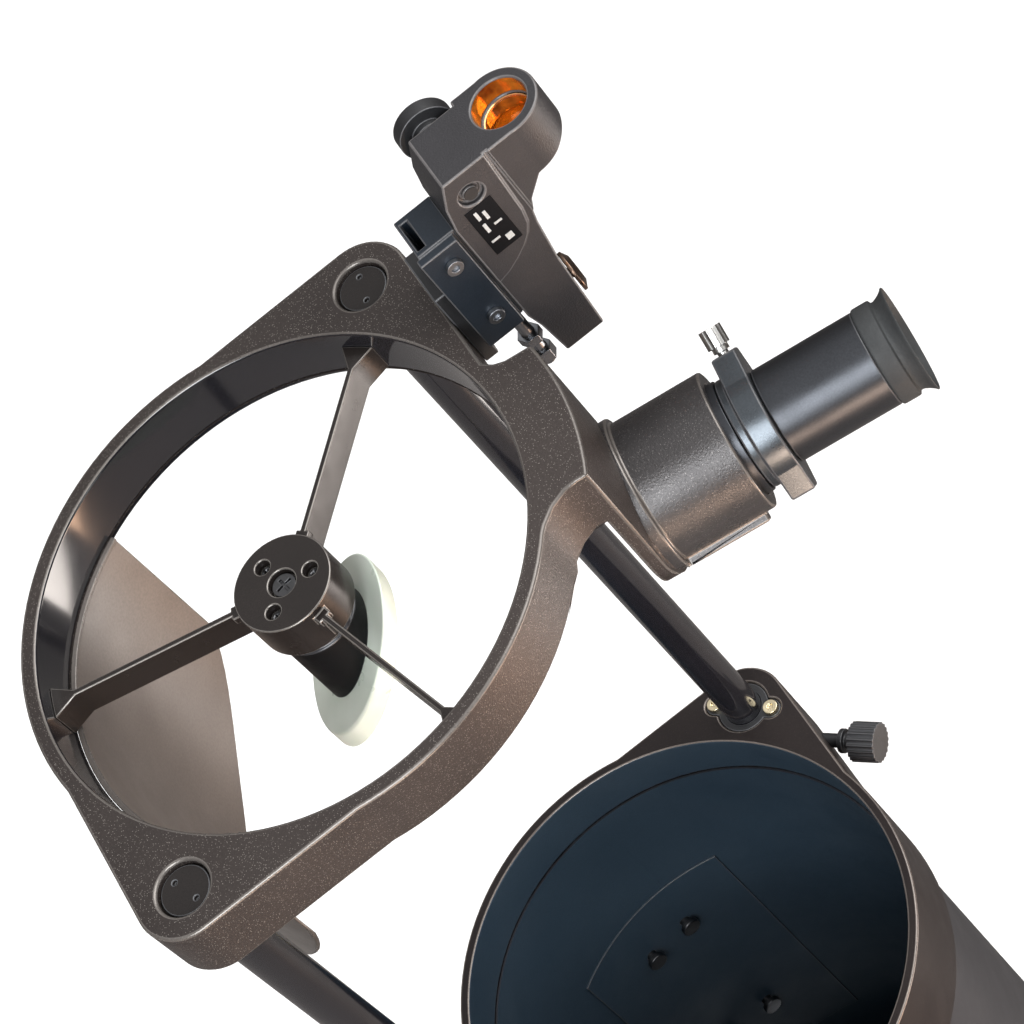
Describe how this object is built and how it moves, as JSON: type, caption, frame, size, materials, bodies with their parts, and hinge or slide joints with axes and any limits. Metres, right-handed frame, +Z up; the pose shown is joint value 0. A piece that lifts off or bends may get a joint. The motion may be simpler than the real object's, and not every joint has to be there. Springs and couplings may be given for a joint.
{
  "type": "collapsible dobsonian telescope",
  "caption": "Collapsible tabletop Newtonian telescope on a one-armed rocker mount, with a two-rod truss, spider ring, helical focuser and red-dot finder.",
  "frame": {"origin": "on the table surface under the azimuth bolt", "axes": "+Z up along the azimuth axis, X along the altitude axis with the arm on -X, the tube leans towards -Y at rest"},
  "size_m": [0.364, 0.5381, 0.8515],
  "materials": {
    "laminate": "black melamine board",
    "rubber": "matte",
    "steel": "brushed",
    "white_plastic": "slippery",
    "black_plastic": "fine grain",
    "dark_steel": "blackened",
    "cast_alloy": "powder coat",
    "black_aluminium": "anodised",
    "tube_paint": "satin",
    "tube_inside": "flat",
    "ring_dark": "satin",
    "brass": "bright",
    "mirror": "polished",
    "ring_paint": "fleck paint",
    "hub_plastic": "satin",
    "rod_black": "gloss",
    "shield_sheet": "semi gloss",
    "collar_satin": "satin",
    "lens_glass": "coated",
    "finder_plastic": "grained",
    "amber_glass": "coated"
  },
  "bodies": {
    "ground": {"ground_board": "laminate", "ground_feet": "rubber", "azimuth_bolt": "steel", "glide_pads": "white_plastic", "azimuth_nut": "black_plastic"},
    "turntable": {"turntable_board": "laminate", "side_arm": "laminate", "arm_screws": "steel", "friction_washer": "white_plastic"},
    "cradle": {"altitude_bearing": "dark_steel", "altitude_saddle": "cast_alloy", "dovetail_bar": "black_aluminium", "dovetail_screws": "dark_steel", "main_tube": "tube_paint", "tube_liner": "tube_inside", "lower_ring": "ring_dark", "rod_bushings": "black_plastic", "bushing_screws": "brass", "rear_ring": "ring_dark", "mirror_cell": "cast_alloy", "primary_mirror": "mirror", "mirror_clips": "black_plastic", "cell_springs": "steel", "cell_lock_screws": "steel"},
    "jaw": {"saddle_jaw": "cast_alloy"},
    "saddle_clamp": {"clamp_knob": "black_plastic"},
    "tension": {"tension_knob": "black_plastic"},
    "lock_a": {"lock_knob_a": "black_plastic"},
    "lock_b": {"lock_knob_b": "black_plastic"},
    "collimator_1": {"collimation_knob_1": "black_plastic"},
    "collimator_2": {"collimation_knob_2": "black_plastic"},
    "collimator_3": {"collimation_knob_3": "black_plastic"},
    "truss": {"upper_ring": "ring_paint", "spider_hub": "hub_plastic", "truss_rod_a": "rod_black", "truss_rod_b": "rod_black", "rod_caps": "black_plastic", "rod_stops": "rubber", "light_shield": "shield_sheet", "focuser_barrel": "ring_paint", "finder_foot": "black_plastic", "finder_bracket": "black_aluminium", "finder_screws": "dark_steel", "finder_housing": "finder_plastic", "finder_window": "amber_glass"},
    "secondary": {"mirror_stalk": "black_plastic", "secondary_mirror": "mirror", "stalk_bolt": "steel"},
    "tilt_1": {"tilt_screw_1": "dark_steel"},
    "tilt_2": {"tilt_screw_2": "dark_steel"},
    "tilt_3": {"tilt_screw_3": "dark_steel"},
    "focus_tube": {"drawtube": "black_aluminium"},
    "collar": {"focus_collar": "collar_satin"},
    "grub_a": {"thumbscrew_a": "steel"},
    "grub_b": {"thumbscrew_b": "steel"},
    "eyepiece": {"eyepiece_body": "black_aluminium", "eyecup": "rubber", "eyepiece_lenses": "lens_glass"},
    "finder_switch": {"finder_dial": "black_plastic"},
    "finder_aim": {"finder_adjuster": "dark_steel"}
  },
  "joints": [
    {"name": "azimuth_turn", "type": "hinge", "parent": "ground", "child": "turntable", "pos_m": [0, 0, 0.045], "axis": [0, 0, 1], "continuous": true},
    {"name": "altitude_tilt", "type": "hinge", "parent": "turntable", "child": "cradle", "pos_m": [-0.15, 0, 0.286], "axis": [-1, 0, 0], "range_deg": [-58, 31.5]},
    {"name": "truss_slide", "type": "slide", "parent": "cradle", "child": "truss", "axis": [0, 0.527, -0.8499], "range_m": [0, 0.24]},
    {"name": "jaw_open", "type": "slide", "parent": "cradle", "child": "jaw", "axis": [0, -0.8499, -0.527], "range_m": [0, 0.003]},
    {"name": "clamp_turn", "type": "hinge", "parent": "cradle", "child": "saddle_clamp", "pos_m": [-0.1182, -0.034, 0.26492], "axis": [0, -0.8499, -0.527], "range_deg": [-360, 360]},
    {"name": "tension_turn", "type": "hinge", "parent": "cradle", "child": "tension", "pos_m": [-0.1602, 0, 0.286], "axis": [-1, 0, 0], "range_deg": [-180, 360]},
    {"name": "rod_lock_a_turn", "type": "hinge", "parent": "cradle", "child": "lock_a", "pos_m": [-0.02902, 0.03038, 0.45662], "axis": [0.8171, 0.4899, 0.3038], "range_deg": [-90, 720]},
    {"name": "rod_lock_b_turn", "type": "hinge", "parent": "cradle", "child": "lock_b", "pos_m": [0.02902, -0.16634, 0.33465], "axis": [-0.8171, -0.4899, -0.3038], "range_deg": [-90, 720]},
    {"name": "collimation_1_turn", "type": "hinge", "parent": "cradle", "child": "collimator_1", "pos_m": [0, 0.15018, 0.16144], "axis": [0, 0.527, -0.8499], "range_deg": [-360, 360]},
    {"name": "collimation_2_turn", "type": "hinge", "parent": "cradle", "child": "collimator_2", "pos_m": [-0.05369, 0.07114, 0.11243], "axis": [0, 0.527, -0.8499], "range_deg": [-360, 360]},
    {"name": "collimation_3_turn", "type": "hinge", "parent": "cradle", "child": "collimator_3", "pos_m": [0.05369, 0.07114, 0.11243], "axis": [0, 0.527, -0.8499], "range_deg": [-360, 360]},
    {"name": "secondary_turn", "type": "hinge", "parent": "truss", "child": "secondary", "pos_m": [0, -0.25294, 0.69395], "axis": [0, 0.527, -0.8499], "range_deg": [-20, 20]},
    {"name": "tilt_1_turn", "type": "hinge", "parent": "truss", "child": "tilt_1", "pos_m": [-0.01076, -0.25904, 0.70193], "axis": [0, -0.527, 0.8499], "range_deg": [-360, 360]},
    {"name": "tilt_2_turn", "type": "hinge", "parent": "truss", "child": "tilt_2", "pos_m": [0.00622, -0.26571, 0.6978], "axis": [0, -0.527, 0.8499], "range_deg": [-360, 360]},
    {"name": "tilt_3_turn", "type": "hinge", "parent": "truss", "child": "tilt_3", "pos_m": [0.00453, -0.24988, 0.70761], "axis": [0, -0.527, 0.8499], "range_deg": [-360, 360]},
    {"name": "focus_travel", "type": "slide", "parent": "truss", "child": "focus_tube", "axis": [0.3371, 0.8001, 0.4961], "range_m": [-0.0045, 0.009]},
    {"name": "focus_turn", "type": "hinge", "parent": "focus_tube", "child": "collar", "pos_m": [0, -0.23044, 0.65766], "axis": [0.3371, 0.8001, 0.4961], "range_deg": [-180, 360]},
    {"name": "thumbscrew_a_turn", "type": "hinge", "parent": "collar", "child": "grub_a", "pos_m": [0.02996, -0.10561, 0.75949], "axis": [-0.7317, -0.109, 0.6729], "range_deg": [-90, 720]},
    {"name": "thumbscrew_b_turn", "type": "hinge", "parent": "collar", "child": "grub_b", "pos_m": [0.03455, -0.08255, 0.71918], "axis": [-0.5925, 0.5898, -0.5487], "range_deg": [-90, 720]},
    {"name": "eyepiece_pull", "type": "slide", "parent": "collar", "child": "eyepiece", "axis": [0.3371, 0.8001, 0.4961], "range_m": [0, 0.03]},
    {"name": "finder_switch_turn", "type": "hinge", "parent": "truss", "child": "finder_switch", "pos_m": [-0.03938, -0.17175, 0.82724], "axis": [-0.9854, 0.1447, 0.0897], "range_deg": [0, 270]},
    {"name": "finder_aim_turn", "type": "hinge", "parent": "truss", "child": "finder_aim", "pos_m": [-0.02551, -0.1243, 0.76253], "axis": [0.1702, 0.8375, 0.5193], "range_deg": [-360, 360]}
  ],
  "couplings": [
    {"joint": "focus_travel", "follows": "focus_turn", "m_per_rad": 0.0014324}
  ]
}
